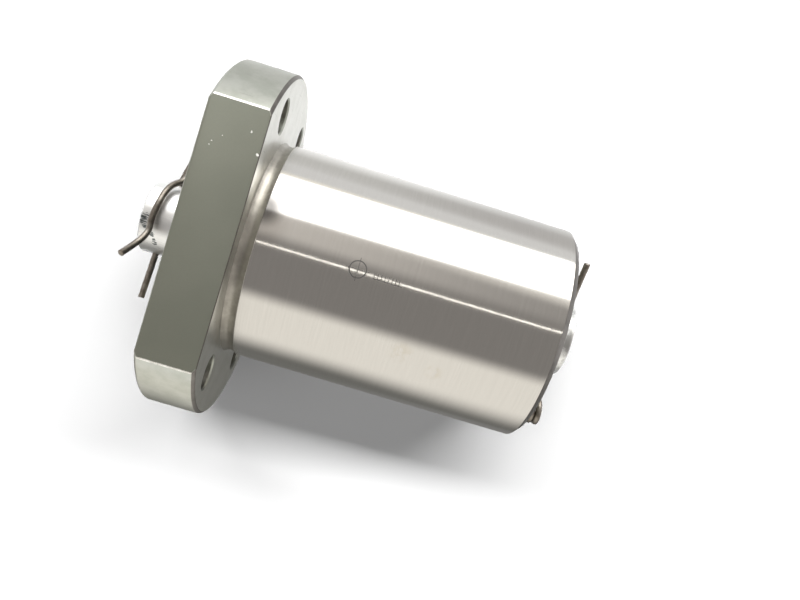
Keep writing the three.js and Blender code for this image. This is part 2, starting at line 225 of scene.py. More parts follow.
def boolean(piece, tools, operation="DIFFERENCE"):
    """Applies tools to a piece and uses them up."""
    for tool in tools:
        step = piece.modifiers.new(tool.name, "BOOLEAN")
        step.object = tool
        step.operation = operation
        step.solver = "MANIFOLD"
    bake_modifiers(piece)
    for tool in tools:
        bpy.data.objects.remove(tool)
    return piece


def bevelled(piece, width, angle=40):
    """Breaks the edges that turn by more than an angle."""
    bevel = piece.modifiers.new("edge break", "BEVEL")
    bevel.width = width
    bevel.segments = 2
    bevel.limit_method = "ANGLE"
    bevel.angle_limit = math.radians(angle)
    bevel.use_clamp_overlap = True
    return bake_modifiers(piece)


def smoothed(piece, angle=24):
    piece.data.shade_smooth()
    piece.data.set_sharp_from_angle(angle=math.radians(angle))
    return piece


def finish_piece(piece, body, node, slot, *materials):
    """Gives a piece its materials and its body, and hides the CAD node that it stands for."""
    piece.data.materials.clear()
    for material in materials:
        piece.data.materials.append(material)
    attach(piece, body)
    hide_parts(node)
    return piece


# ---- Curves ----


def bent_line(corners, bend, steps=10):
    """A line through corner points, with each inner corner rounded to a bend radius."""
    line = [corners[0]]
    for before, corner, after in zip(corners, corners[1:], corners[2:]):
        arriving, leaving = (corner - before).normalized(), (after - corner).normalized()
        turn = arriving.angle(leaving)
        reach = bend * math.tan(turn / 2)
        start = corner - reach * arriving
        inwards = (leaving - leaving.dot(arriving) * arriving).normalized()
        for k in range(steps + 1):
            angle = turn * k / steps
            line.append(start + bend * (math.sin(angle) * arriving + (1 - math.cos(angle)) * inwards))
    line.append(corners[-1])
    return line


def spline_through(points, steps):
    """A centripetal Catmull-Rom line through points."""
    ends = [2 * points[0] - points[1], *points, 2 * points[-1] - points[-2]]
    line = []
    for a, b, c, d in zip(ends, ends[1:], ends[2:], ends[3:]):
        before, along, after = (max((q - p).length, 1e-9) ** 0.5 for p, q in ((a, b), (b, c), (c, d)))
        leave = along * ((b - a) / before - (c - a) / (before + along) + (c - b) / along)
        arrive = along * ((c - b) / along - (d - b) / (along + after) + (d - c) / after)
        line += interpolate_bezier(b, b + leave / 3, c - arrive / 3, c, steps + 1)[:-1]
    line.append(points[-1])
    return line


def line_rings(line, radii):
    """Rings square to a line, turned as little as possible from one to the next."""
    rings = []
    side = None
    for i, centre in enumerate(line):
        ahead = (line[min(i + 1, len(line) - 1)] - line[max(i - 1, 0)]).normalized()
        side = ahead.orthogonal() if side is None else side - side.dot(ahead) * ahead
        side.normalize()
        rings.append((centre, side.copy(), ahead.cross(side), radii[i]))
    return rings


def pipe(name, line, radius, sides):
    return loft(name, line_rings(line, [radius] * len(line)), sides)


def walk(line, distances):
    """Points at distances along a line, in order of distance."""
    points = []
    travelled, i = 0.0, 0
    for distance in distances:
        while i < len(line) - 2 and travelled + (line[i + 1] - line[i]).length < distance:
            travelled += (line[i + 1] - line[i]).length
            i += 1
        step = line[i + 1] - line[i]
        points.append(line[i] + step * ((distance - travelled) / step.length))
    return points


def length_of(line):
    return sum((b - a).length for a, b in zip(line, line[1:]))


def helix(start, turns, steps_per_turn=48):
    """The right-hand helix of the ball centres, from +Y at the start."""
    steps = round(turns * steps_per_turn)
    line = []
    for k in range(steps + 1):
        line.append(around(start + LEAD * turns * k / steps, BALL_CIRCLE, 360 * turns * k / steps))
    return line


# ---- Node trees ----


class Graph:
    """Builds a node tree, and is called g below.

    A value or another node's output goes straight into a new node's socket.
    """

    def __init__(self, tree):
        self.tree = tree

    def node(self, kind, sockets=(), out=0, **settings):
        made = self.tree.nodes.new(kind)
        for key, value in settings.items():
            setattr(made, key, value)
        for key, value in dict(sockets).items():
            self.put(made.inputs[key], value)
        return made.outputs[out] if len(made.outputs) else made

    def put(self, socket, value):
        """Links a socket or sets it. A colour is (red, green, blue)."""
        if isinstance(value, bpy.types.NodeSocket):
            self.tree.links.new(value, socket)
        elif socket.type == "RGBA":
            socket.default_value = (*value, 1.0)
        else:
            socket.default_value = value

    def math(self, operation, a, b=0.0):
        return self.node("ShaderNodeMath", {0: a, 1: b}, operation=operation)

    times = partialmethod(math, "MULTIPLY")
    plus = partialmethod(math, "ADD")
    minus = partialmethod(math, "SUBTRACT")
    most = partialmethod(math, "MAXIMUM")

    def vector(self, operation, a, b=(0, 0, 0)):
        out = "Value" if operation in ("DOT_PRODUCT", "LENGTH", "DISTANCE") else "Vector"
        return self.node("ShaderNodeVectorMath", {0: a, 1: b}, out=out, operation=operation)

    distance = partialmethod(vector, "DISTANCE")

    def position(self):
        return self.node("ShaderNodeTexCoord", out="Object")

    def axes(self, vector):
        split = self.tree.nodes.new("ShaderNodeSeparateXYZ")
        self.tree.links.new(vector, split.inputs[0])
        return split.outputs

    def combine(self, x, y, z):
        return self.node("ShaderNodeCombineXYZ", {0: x, 1: y, 2: z})

    def turned(self, vector, rotation, scale):
        """A vector turned and stretched, for marks that run across the piece."""
        sockets = {"Vector": vector, "Rotation": rotation, "Scale": scale}
        return self.node("ShaderNodeMapping", sockets)

    def noise(self, vector, scale, detail=3.0, roughness=0.5):
        sockets = {"Vector": vector, "Scale": scale, "Detail": detail, "Roughness": roughness}
        return self.node("ShaderNodeTexNoise", sockets, out="Fac")

    def ramp(self, value, low, high, at_low=0.0, at_high=1.0):
        """Turns low to high into at_low to at_high, smoothly, and holds it beyond them."""
        sockets = {"Value": value, "From Min": low, "From Max": high}
        sockets |= {"To Min": at_low, "To Max": at_high}
        return self.node("ShaderNodeMapRange", sockets, interpolation_type="SMOOTHSTEP")

    def mix(self, factor, a, b):
        """A colour between a and b."""
        sockets = {"Factor": factor, 6: a, 7: b}
        return self.node("ShaderNodeMix", sockets, out=2, data_type="RGBA")

    def blend(self, factor, a, b):
        """A number between a and b."""
        return self.node("ShaderNodeMix", {"Factor": factor, 2: a, 3: b})

    def spots(self, vector, places, core, ragged=0.0):
        """1 in spots of (middle, size), of which the core is a share, and 0 outside."""
        found = 0.0
        for middle, size in places:
            away = self.plus(self.distance(vector, middle), ragged)
            found = self.most(self.ramp(away, size, core * size), found)
        return found

    def bump(self, height, distance, strength):
        sockets = {"Height": height, "Distance": distance, "Strength": strength}
        return self.node("ShaderNodeBump", sockets)


def empty_material(name):
    """A material without nodes, and the graph that builds them."""
    material = bpy.data.materials.new(name)
    material.use_nodes = True
    material.node_tree.nodes.clear()
    return material, Graph(material.node_tree)


def surface(name, build, metallic=1.0, **fixed):
    """A material whose build function returns the linked sockets of its Principled shader."""
    material, g = empty_material(name)
    fixed = {key.replace("_", " "): value for key, value in fixed.items()}
    sockets = {"Metallic": metallic, **fixed, **build(g)}
    shader = g.node("ShaderNodeBsdfPrincipled", sockets)
    g.node("ShaderNodeOutputMaterial", {"Surface": shader})
    return material


def round_axis(g):
    """The direction of turning and grinding marks: round the X axis."""
    return g.node("ShaderNodeTangent", direction_type="RADIAL", axis="X")


# ---- Materials ----

MARK = {"x": SEAT + 29 * MM, "degrees": 85, "ring": 2.1 * MM, "line": 0.16 * MM}
CROSS_REACH = 1.4 * MARK["ring"]
TICKS = {"start": 4.2 * MM, "end": 11.4 * MM, "pitch": 0.9 * MM, "foot": -1.2 * MM, "top": 0.4 * MM}


def laser_mark(g, x, v):
    """A ring with a cross in it and a tick scale, spelling nothing. v runs round the body."""
    u = g.minus(x, MARK["x"])
    line = MARK["line"]

    def inside(value, low, high):
        above = g.math("GREATER_THAN", value, low)
        return g.times(above, g.math("LESS_THAN", value, high))

    away = g.vector("LENGTH", g.combine(u, v, 0.0))
    ring = inside(away, MARK["ring"] - line, MARK["ring"] + line)
    arms = g.most(inside(u, -line / 2, line / 2), inside(v, -line / 2, line / 2))
    cross = g.times(arms, g.math("LESS_THAN", away, CROSS_REACH))
    steps = g.math("DIVIDE", g.minus(u, TICKS["start"]), TICKS["pitch"])
    tick = g.math("LESS_THAN", g.math("FRACT", steps), line / TICKS["pitch"])
    tick = g.times(tick, inside(v, TICKS["foot"], TICKS["top"]))
    base = inside(v, TICKS["foot"], TICKS["foot"] + line)
    scale = g.times(g.most(tick, base), inside(u, TICKS["start"], TICKS["end"]))
    return g.most(g.most(ring, cross), scale)


def on_body(along, degrees):
    """A point of the ground cylinder at a distance from the seat."""
    return around(SEAT + along, BODY_RADIUS, degrees)


STAINS = ((on_body(45 * MM, 118), 4 * MM), (on_body(54.5 * MM, 124), 3 * MM))


def ground_steel(g):
    """The ground cylinder: fine marks round the axis, faint stains, two patches of painted dark
    reflection near the seat, and the laser mark.
    """
    at = g.position()
    x, y, z = g.axes(at)
    marks = g.noise(g.combine(g.times(x, 60.0), y, z), 90.0, 6.0, 0.75)
    broad = g.noise(at, 45.0, 2.0)
    stain = g.spots(at, STAINS, 0.3)
    stain = g.times(stain, g.ramp(g.noise(at, 420.0), 0.42, 0.62))
    # Painted shade: two patches near the seat that darken what the body reflects there, as painted dark
    # reflections.
    painted_dim_reflection = g.spots(at, [(on_body(4 * MM, 78), 8 * MM)], 0.25)
    painted_dark_reflection = g.spots(at, [(on_body(3.2 * MM, 70), 6 * MM)], 0.25)
    angle = g.math("ARCTAN2", z, y)
    turn = g.minus(math.radians(MARK["degrees"]), angle)
    mark = laser_mark(g, x, g.times(turn, BODY_RADIUS))
    colour = g.mix(g.ramp(marks, 0.3, 0.7), (0.585, 0.57, 0.545), (0.62, 0.605, 0.58))
    # The two patches of painted dark reflection darken the colour here.
    colour = g.mix(g.times(painted_dim_reflection, 0.35), colour, (0.36, 0.33, 0.30))
    colour = g.mix(g.times(painted_dark_reflection, 0.92), colour, (0.12, 0.115, 0.11))
    colour = g.mix(g.times(stain, 0.25), colour, (0.50, 0.44, 0.33))
    colour = g.mix(g.times(mark, 0.7), colour, (0.12, 0.12, 0.12))
    rough = g.plus(g.blend(marks, 0.10, 0.15), g.times(broad, 0.04))
    return {
        "Base Color": colour,
        "Roughness": g.plus(rough, g.times(mark, 0.3)),
        "Tangent": round_axis(g),
        "Normal": g.bump(marks, 0.00001, 0.12),
    }


# Each nick's place from the seat and from the axis, and its size, in millimetres.
NICKS = (
    (-3.3, 25.7, 0.36), (-11.6, 21.2, 0.26), (-11.9, 20.2, 0.2), (-0.6, 21.1, 0.4), (-9.5, 23.0, 0.16),
)


def milled_flat_steel(g):
    """The flange's flats: matt, with an even fine grain and a few small bright nicks."""
    at = g.position()
    x, y, z = g.axes(at)
    grain = g.noise(at, 2600.0, 4.0, 0.7)
    lines = g.noise(g.combine(g.times(x, 30.0), y, z), 60.0, 4.0, 0.7)
    shade = g.ramp(g.noise(at, 40.0, detail=2.0), 0.35, 0.65)
    ragged = g.times(g.minus(g.noise(at, 1500.0, 2.0), 0.45), MM)
    places = [(Vector((SEAT + x * MM, y * MM, HALF_FLATS)), size * MM) for x, y, size in NICKS]
    nicks = g.spots(at, places, 0.6, ragged)
    colour = g.mix(shade, (0.280, 0.293, 0.247), (0.302, 0.314, 0.265))
    colour = g.mix(g.ramp(grain, 0.35, 0.65), g.mix(0.12, colour, (0.2, 0.2, 0.18)), colour)
    colour = g.mix(nicks, colour, (0.95, 0.95, 0.93))
    height = g.plus(g.times(lines, 0.3), g.times(grain, 0.5))
    return {
        "Base Color": colour,
        "Roughness": g.blend(nicks, g.blend(grain, 0.50, 0.60), 0.7),
        "Normal": g.bump(height, 0.00004, 0.4),
    }


def turned_steel(g, shade=(0.42, 0.435, 0.385), light=(0.50, 0.51, 0.465)):
    """The flange's rim and faces: turned, mottled and a little scratched."""
    at = g.position()
    x, y, z = g.axes(at)
    radius = g.vector("LENGTH", g.combine(0.0, y, z))
    marks_at = g.combine(g.times(x, 40.0), g.times(radius, 40.0), 0.0)
    marks = g.noise(marks_at, 50.0, 5.0, 0.7)
    mottle = g.noise(at, 160.0, 5.0, 0.65)
    scratch_at = g.turned(at, (0.5, 0.3, 0.9), (1, 14, 1))
    scratches = g.ramp(g.noise(scratch_at, 130.0, detail=2.0), 0.70, 0.74)
    colour = g.mix(g.ramp(mottle, 0.35, 0.65), shade, light)
    colour = g.mix(g.times(scratches, 0.35), colour, (0.3, 0.29, 0.27))
    return {
        "Base Color": colour,
        "Roughness": g.blend(marks, 0.26, 0.40),
        "Tangent": round_axis(g),
        "Normal": g.bump(g.plus(marks, g.times(mottle, 0.5)), 0.00003, 0.3),
    }


def skin(name, base, layers, fine, rough, bump=None, metallic=1.0):
    """A material with patches of colour over a base, and an even fine grain.

    A noise is its scale, detail and roughness. Each layer has its noise, the range over which
    it comes to show, how much of it shows and its colour.
    """

    def build(g):
        at = g.position()
        grain = g.noise(at, *fine)
        colour = base
        for noise, shown, share, shade in layers:
            patches = g.ramp(g.noise(at, *noise), *shown)
            colour = g.mix(g.times(patches, share), colour, shade)
        sockets = {"Base Color": colour, "Roughness": g.blend(grain, *rough)}
        if bump:
            sockets["Normal"] = g.bump(grain, *bump)
        return sockets

    return surface(name, build, metallic)


# Each ink smear's distance from the mandrel's flange end, its angle and its size, in millimetres.
SMEARS = ((1.4, 96, 2.0), (2.4, 104, 1.5), (4.0, 118, 0.7), (4.6, 126, 0.6), (5.0, 134, 0.6))


def mandrel_aluminium(g):
    """Bright drawn tube: fine lines along it, scratches, dark ink at its flange end, and darker
    patches on its length past the nose."""
    at = g.position()
    x, y, z = g.axes(at)
    drawn_at = g.combine(x, g.times(y, 30.0), g.times(z, 30.0))
    drawn = g.noise(drawn_at, 70.0, 5.0, 0.7)
    scratch_at = g.turned(at, (0.9, 0.2, 0.5), (1, 9, 1))
    scratches = g.ramp(g.noise(scratch_at, 260.0), 0.66, 0.70)
    ragged = g.minus(g.noise(at, 700.0, 4.0, 0.7), 0.5)
    ragged = g.times(ragged, 3.2 * MM)
    hairs_at = g.turned(at, (0, 0, 0.6), (1, 5, 3))
    hairs = g.ramp(g.noise(hairs_at, 620.0, 3.0, 0.6), 0.40, 0.56)
    places = []
    for along, degrees, size in SMEARS:
        places.append((around(mandrel_low.x + along * MM, MANDREL["radius"], degrees), size * MM))
    smears = g.times(g.spots(at, places, 0.7, ragged), hairs)
    past_nose = g.ramp(x, NOSE, NOSE + MM)
    before_end = g.ramp(x, mandrel_high.x - 0.1 * MM, mandrel_high.x - MM)
    dark_patches = g.ramp(g.noise(at, 240.0, 5.0, 0.75), 0.42, 0.56)
    dark_patches = g.times(dark_patches, g.times(past_nose, before_end))
    colour = g.mix(g.ramp(drawn, 0.3, 0.7), (0.84, 0.85, 0.85), (0.93, 0.935, 0.93))
    colour = g.mix(g.times(scratches, 0.35), colour, (0.5, 0.5, 0.49))
    colour = g.mix(g.times(dark_patches, 0.75), colour, (0.34, 0.34, 0.33))
    colour = g.mix(g.times(smears, 0.9), colour, (0.05, 0.07, 0.075))
    height = g.minus(drawn, g.times(scratches, 0.7))
    return {
        "Base Color": colour,
        "Roughness": g.blend(drawn, 0.30, 0.42),
        "Normal": g.bump(height, 0.00003, 0.4),
    }


def table_top(g):
    """A plain pale table with hardly any grain and a few crumbs, which glows with painted light, more
    strongly away from the nut.
    """
    at = g.position()
    blotch = g.noise(at, 9.0)
    grain = g.noise(at, 900.0, 3.0, 0.6)
    specks = {"Vector": at, "Scale": 60.0, "Randomness": 1.0}
    specks = g.node("ShaderNodeTexVoronoi", specks, out="Distance")
    crumbs = g.times(g.ramp(specks, 0.03, 0.018), g.ramp(g.noise(at, 14.0), 0.6, 0.64))
    colour = g.mix(blotch, (0.218, 0.218, 0.218), (0.222, 0.222, 0.222))
    return {
        "Base Color": g.mix(g.times(crumbs, 0.8), colour, (0.3, 0.28, 0.25)),
        "Roughness": g.blend(grain, 0.7, 0.8),
        "Normal": g.bump(grain, 0.00002, 0.1),
        # Painted light: the table glows, not at all beside the nut and fully far from it.
        "Emission Color": (1, 0.995, 0.985),
        "Emission Strength": g.ramp(g.distance(at, Vector()), 250 * MM, 900 * MM),
    }


# Holes, pocket and raceway: machined, oiled and darker.
INSIDE = skin("bore_steel", (0.44, 0.43, 0.41), (
    ((110, 3, 0.5), (0.4, 0.7), 1, (0.34, 0.32, 0.28)),
), (700, 4, 0.7), (0.26, 0.44), (0.00004, 0.4))

# Chamfers in a dark brown-grey tone, with a few bright nicks.
DARK_EDGE = skin("dark_edge_steel", (0.15, 0.14, 0.13), (
    ((320, 4, 0.6), (0.3, 0.7), 1, (0.20, 0.187, 0.175)),
    ((150, 5, 0.7), (0.64, 0.70), 0.8, (0.6, 0.58, 0.55)),
), (320, 4, 0.6), (0.3, 0.42), (0.00003, 0.4))

# Edges rubbed bright by handling.
WORN_EDGE = skin("worn_edge_steel", (0.62, 0.62, 0.58), (
    ((380, 5, 0.7), (0.4, 0.6), 1, (0.88, 0.87, 0.84)),
), (380, 5, 0.7), (0.2, 0.36), (0.00006, 0.6))

# The zones that nut_zone tells apart.
NUT_MATERIALS = {
    "outside": surface("ground_steel", ground_steel, Anisotropic=0.85, Anisotropic_Rotation=0.25),
    "flat": surface("milled_flat_steel", milled_flat_steel),
    "turned": surface("turned_steel", turned_steel, Anisotropic=0.5, Anisotropic_Rotation=0.25),
    "inside": INSIDE,
    "dark_edge": DARK_EDGE,
    "worn_edge": WORN_EDGE,
    # The seat face is turned steel in brighter tones: painted light that brightens its reflection of the
    # table.
    "seat_face": surface("seat_face_painted_bright_steel",
        partial(turned_steel, shade=(0.62, 0.62, 0.58), light=(0.69, 0.69, 0.655))),
    "neck": surface("neck_steel",
        partial(turned_steel, shade=(0.28, 0.265, 0.235), light=(0.41, 0.39, 0.35))),
}

ALUMINIUM = surface("mandrel_aluminium", mandrel_aluminium)

# Hard drawn wire with a thin brown-grey skin, rubbed bright in places.
SPRING = skin("spring_steel", (0.20, 0.175, 0.15), (
    ((500, 5, 0.65), (0.35, 0.65), 1, (0.31, 0.285, 0.25)),
    ((180, 4, 0.5), (0.56, 0.7), 0.5, (0.50, 0.48, 0.44)),
), (500, 5, 0.65), (0.26, 0.42), (0.00004, 0.4))

BALLS = skin("polished_ball_steel", (0.70, 0.71, 0.72), (
    ((420, 3, 0.5), (0.4, 0.7), 1, (0.60, 0.60, 0.58)),
), (420, 3, 0.5), (0.05, 0.14))

# Tube, faintly brown from being bent hot.
TUBES = skin("drawn_tube_steel", (0.50, 0.49, 0.46), (
    ((70, 2, 0.5), (0.45, 0.65), 1, (0.46, 0.41, 0.33)),
    ((380, 5, 0.65), (0.3, 0.7), 1, (0.58, 0.57, 0.54)),
), (380, 5, 0.65), (0.22, 0.4), (0.00004, 0.4))

SHEET = skin("pressed_sheet_steel", (0.42, 0.41, 0.385), (
    ((240, 3, 0.5), (0.4, 0.65), 1, (0.52, 0.51, 0.48)),
), (1500, 4, 0.7), (0.3, 0.5), (0.00003, 0.4))

# Blackened screws, rubbed bare on their edges by the driver.
BLACK = skin("black_oxide", (0.035, 0.035, 0.038), (
    ((900, 3, 0.5), (0.6, 0.75), 1, (0.16, 0.155, 0.15)),
), (2200, 4, 0.7), (0.32, 0.5), (0.00003, 0.4))

# Dark plastic with a little pale dust.
PLASTIC = skin("moulded_seal_plastic", (0.028, 0.03, 0.034), (
    ((200, 4, 0.5), (0.5, 0.75), 0.3, (0.11, 0.11, 0.105)),
), (3000, 3, 0.6), (0.45, 0.62), (0.00002, 0.5), metallic=0.0)


# ---- Nut body ----


def tube_corners(start, mouth):
    end, side, crossing = start + CIRCUIT_TURNS * LEAD, BALL_CIRCLE, TUBE["crossing"]
    left = [(start, side, mouth), (start, side, crossing)]
    right = [(end, -side, crossing), (end, -side, mouth)]
    return [Vector(corner) for corner in left + right]


def crossing_frame(start):
    """A clamp's frame: +X across the tube, +Y outwards from the nut, +Z along the tube."""
    _, left, right, _ = tube_corners(start, 0)
    along = (right - left).normalized()
    outwards = Vector((0, 0, -1))
    across = outwards.cross(along)
    middle = (left + right) / 2
    return placed(across, outwards, along, Vector((middle.x, middle.y, POCKET_FLOOR)))


def clamp_screw_points(start):
    return [crossing_frame(start) @ Vector((side * CLAMP["screw_offset"], 0, 0)) for side in (-1, 1)]


def flange_blank():
    profile = [
        (OUTER_FACE, FLANGE_RADIUS - ARC_CHAMFER), (OUTER_FACE + ARC_CHAMFER, FLANGE_RADIUS),
        (SEAT - ARC_CHAMFER, FLANGE_RADIUS), (SEAT, FLANGE_RADIUS - ARC_CHAMFER),
    ]
    disc = lathe("flange_blank", profile, sides=360)
    reach = 1.1 * FLANGE_RADIUS
    low, high = OUTER_FACE - MM, SEAT + MM
    outline = [(low, -reach), (high, -reach), (high, reach), (low, reach)]
    slab = prism("flats", outline, 2 * HALF_FLATS, Matrix.Translation((0, 0, -HALF_FLATS)))
    boolean(disc, [slab], "INTERSECT")
    return bevelled(disc, EDGE_BREAK, angle=30)


def round_blank():
    steps = 12
    groove = []
    for k in range(steps + 1):
        dip = NECK["depth"] * math.sin(math.pi * k / steps)
        groove.append((SEAT + NECK["length"] * k / steps, NECK["edge"] - dip))
    body_start = SEAT + NECK["length"] + 0.15 * MM
    nose = rounded([
        (NOSE - 2 * NOSE_CHAMFER, BODY_RADIUS), (NOSE - NOSE_CHAMFER, BODY_RADIUS),
        (NOSE, BODY_RADIUS - NOSE_CHAMFER), (NOSE, SEAL_SEAT["radius"]),
    ], 0.2 * MM)
    profile = [(SEAT - MM, NECK["edge"]), *groove, (body_start, BODY_RADIUS), *nose]
    return lathe("round_blank", profile, sides=360)


def bore_cutter():
    seat, floor = SEAL_SEAT["radius"], SEAL_SEAT["depth"]
    lip = HOLE_CHAMFER
    return lathe("bore", [
        (OUTER_FACE - MM, seat + lip + MM), (OUTER_FACE + lip, seat),
        (OUTER_FACE + floor, seat), (OUTER_FACE + floor, BORE_RADIUS),
        (NOSE - floor, BORE_RADIUS), (NOSE - floor, seat),
        (NOSE - lip, seat), (NOSE + MM, seat + lip + MM),
    ])


def bolt_cutter(degrees):
    radius, head, lip = BOLT["radius"], BOLT["head_radius"], HOLE_CHAMFER
    shoulder = OUTER_FACE + BOLT["head_depth"]
    return lathe("bolt_hole", [
        (OUTER_FACE - MM, head + lip + MM), (OUTER_FACE + lip, head), (shoulder, head),
        (shoulder, radius), (SEAT - lip, radius), (SEAT + MM, radius + lip + MM),
    ], sides=64, origin=around(0, BOLT["circle"], degrees))


def raceway_cutter():
    first = CIRCUITS["flange_side"]
    before = math.ceil((first - OUTER_FACE) / LEAD)
    line = helix(first - before * LEAD, before + TURNS_TO_NOSE)
    inside = [p for p in line if OUTER_FACE + 4 * MM < p.x < NOSE - 4 * MM]
    return pipe("raceway", inside, GROOVE_RADIUS, 20)


def pocket_cutter():
    start, end, half, corner = POCKET["start"], POCKET["end"], POCKET["half_width"], POCKET["corner"]
    outline = []
    for x, y, turn in ((end, half, 0), (start, half, 90), (start, -half, 180), (end, -half, 270)):
        centre = (x - math.copysign(corner, x - (start + end) / 2), y - math.copysign(corner, y))
        outline += arc(centre, corner, turn, turn + 90, 12)
    depth = BODY_RADIUS + 2 * MM
    return prism("pocket", outline, depth, Matrix.Translation((0, 0, POCKET_FLOOR - depth)))


def tube_room(start):
    return pipe("tube_room", bent_line(tube_corners(start, MM), TUBE["bend"]), TUBE["radius"] + GAP, 40)


def screw_hole(name, bottom, top, radius):
    """A hole with a countersunk mouth at its top."""
    length = (top - bottom).length
    profile = [(0, radius), (length - HOLE_CHAMFER, radius), (length + MM, radius + HOLE_CHAMFER + MM)]
    return lathe(name, profile, sides=32, origin=bottom, axis=(top - bottom).normalized())


def seal_middle(end):
    depth = SEAL_SEAT["depth"] / 2
    return OUTER_FACE + depth if end == "flange" else NOSE - depth


def small_holes():
    holes = []
    for start in CIRCUITS.values():
        for at in clamp_screw_points(start):
            bottom = at + Vector((0, 0, CLAMP_HOLE["depth"]))
            holes.append(screw_hole("clamp_hole", bottom, at, CLAMP_HOLE["radius"]))
    for end, angles in SEAL_SCREWS.items():
        outside = HALF_FLATS if end == "flange" else BODY_RADIUS
        for degrees in angles:
            bottom = around(seal_middle(end), SEAL_SEAT["radius"] - MM, degrees)
            top = around(seal_middle(end), outside, degrees)
            holes.append(screw_hole("seal_hole", bottom, top, SEAL_HOLE))
    rim = Vector((GREASE_X, FLANGE_RADIUS, 0))
    holes.append(rod("grease_way", Vector((GREASE_X, BORE_RADIUS - MM, 0)), rim, GREASE["way"]))
    holes.append(screw_hole("grease_tap", rim - Vector((0, GREASE["depth"], 0)), rim, GREASE["tap"]))
    return holes


def nut_body():
    nut = boolean(round_blank(), [flange_blank()], "UNION")
    cutters = [bore_cutter(), pocket_cutter(), raceway_cutter()]
    cutters += [tube_room(start) for start in CIRCUITS.values()]
    cutters += [bolt_cutter(degrees) for degrees in BOLT_ANGLES]
    boolean(nut, cutters + small_holes())
    nut.name = "nut_body_ground"
    finish_piece(nut, "nut", "nut_body", "ground_steel", *NUT_MATERIALS.values())
    zones = list(NUT_MATERIALS)
    for face in nut.data.polygons:
        face.material_index = zones.index(nut_zone(face))
    return smoothed(nut)


def nut_zone(face):
    """The nut's zone that a face is in."""
    centre, normal = face.center, face.normal
    x = centre.x
    radius = math.hypot(centre.y, centre.z)
    outwards = normal.yz.dot(centre.yz) / radius
    near_flats = abs(centre.z) > HALF_FLATS - 2 * EDGE_BREAK
    sloping = 0.25 < normal.x < 0.97
    on_nose_edge = x > NOSE - NOSE_CHAMFER - 0.1 * MM and radius > BODY_RADIUS - 2 * NOSE_CHAMFER
    by_seat = SEAT - ARC_CHAMFER - 0.1 * MM < x < SEAT + 0.01 * MM
    on_seat_edge = by_seat and (radius > FLANGE_RADIUS - 2 * ARC_CHAMFER or near_flats)
    if sloping and (on_nose_edge or on_seat_edge):
        return "dark_edge"
    if abs(normal.x) < 0.2 and near_flats and x < SEAT and abs(normal.z) < 0.985:
        return "worn_edge"
    if x > SEAT + 0.01 * MM:
        outside = radius > BODY_RADIUS - 1.6 * MM and outwards > 0.1
        if outside:
            return "neck" if x < SEAT + NECK["length"] else "outside"
        on_end = abs(normal.x) > 0.5 and x > NOSE - 0.5 * MM
        return "turned" if on_end else "inside"
    if abs(normal.z) > 0.95 and abs(centre.z) > HALF_FLATS - 0.02 * MM:
        return "flat"
    by_face = x < OUTER_FACE + ARC_CHAMFER or x > SEAT - ARC_CHAMFER
    on_face = abs(normal.x) > 0.6 and by_face
    if on_face and normal.x > 0.97:
        return "seat_face"
    on_rim = outwards > 0.3 and radius > SEAL_SEAT["radius"] + 12 * MM
    return "turned" if on_face or on_rim else "inside"


# ---- Ball circuits ----


def ball_centres(start):
    """The ball centres of one circuit: first those in the raceway, then those in the return tube."""
    loaded_line = helix(start, CIRCUIT_TURNS)
    tube_line = bent_line(tube_corners(start, 0), TUBE["bend"])
    loaded_length, tube_length = length_of(loaded_line), length_of(tube_line)
    loop = loaded_length + tube_length
    count = math.floor(loop / BALL_PITCH)
    places = [(i + 0.5) * loop / count for i in range(count)]
    loaded = walk(loaded_line, [p for p in places if p < loaded_length])
    returning = walk(tube_line, [p - loaded_length for p in places if p >= loaded_length])
    return loaded, returning


def ball_row(name, centres):
    bm = bmesh.new()
    for centre in centres:
        place = Matrix.Translation(centre)
        bmesh.ops.create_icosphere(bm, subdivisions=3, radius=BALL_RADIUS, matrix=place)
    row = from_bmesh(name, bm)
    row.data.shade_smooth()
    return row


def return_tube(name, start):
    line = bent_line(tube_corners(start, TUBE["mouth"]), TUBE["bend"])
    outer, inner = (line_rings(line, [TUBE[key]] * len(line)) for key in ("radius", "hole"))
    tube = loft(name, outer + inner[::-1], 40, closed=True)
    low, high = Vector((start - LEAD, 0, 0)), Vector((start + 3.5 * LEAD, 0, 0))
    boolean(tube, [rod("screw_room", low, high, BORE_RADIUS + GAP, 96)])
    return smoothed(bevelled(tube, 0.12 * MM))


def tube_clamp(name, start):
    thickness, width, foot = CLAMP["thickness"], CLAMP["width"], CLAMP["foot"]
    inner = TUBE["radius"] + GAP
    outer = inner + thickness
    height = POCKET_FLOOR - TUBE["crossing"]
    outline = [(foot, GAP), (foot, thickness), (outer, thickness)]
    outline += arc((0, height), outer, 0, 180, 28)
    outline += [(-outer, thickness), (-foot, thickness), (-foot, GAP), (-inner, GAP)]
    outline += arc((0, height), inner, 180, 0, 28)
    outline += [(inner, GAP)]
    strap = prism(name, outline, width, Matrix.Translation((0, 0, -width / 2)))
    for x in (-CLAMP["screw_offset"], CLAMP["screw_offset"]):
        low, high = Vector((x, 0, 0)), Vector((x, thickness + MM, 0))
        boolean(strap, [rod("screw_way", low, high, CLAMP_HOLE["in_clamp"], 32)])
    bevelled(strap, 0.22 * MM)
    strap.data.transform(crossing_frame(start))
    return smoothed(strap)


def socket_screw(name, profile, sides, socket, socket_depth, seat, axis):
    """A screw turned from a profile along its axis, with a hexagon socket at its outer end."""
    top = profile[-1][0]
    screw = lathe(name, rounded(profile, 0.2 * MM), sides, origin=seat, axis=axis)
    hole = [(top - socket_depth, socket), (top + MM, socket)]
    hexagon = lathe("socket", hole, 6, origin=seat, axis=axis)
    boolean(screw, [hexagon])
    bevelled(screw, 0.05 * MM)
    return smoothed(screw)


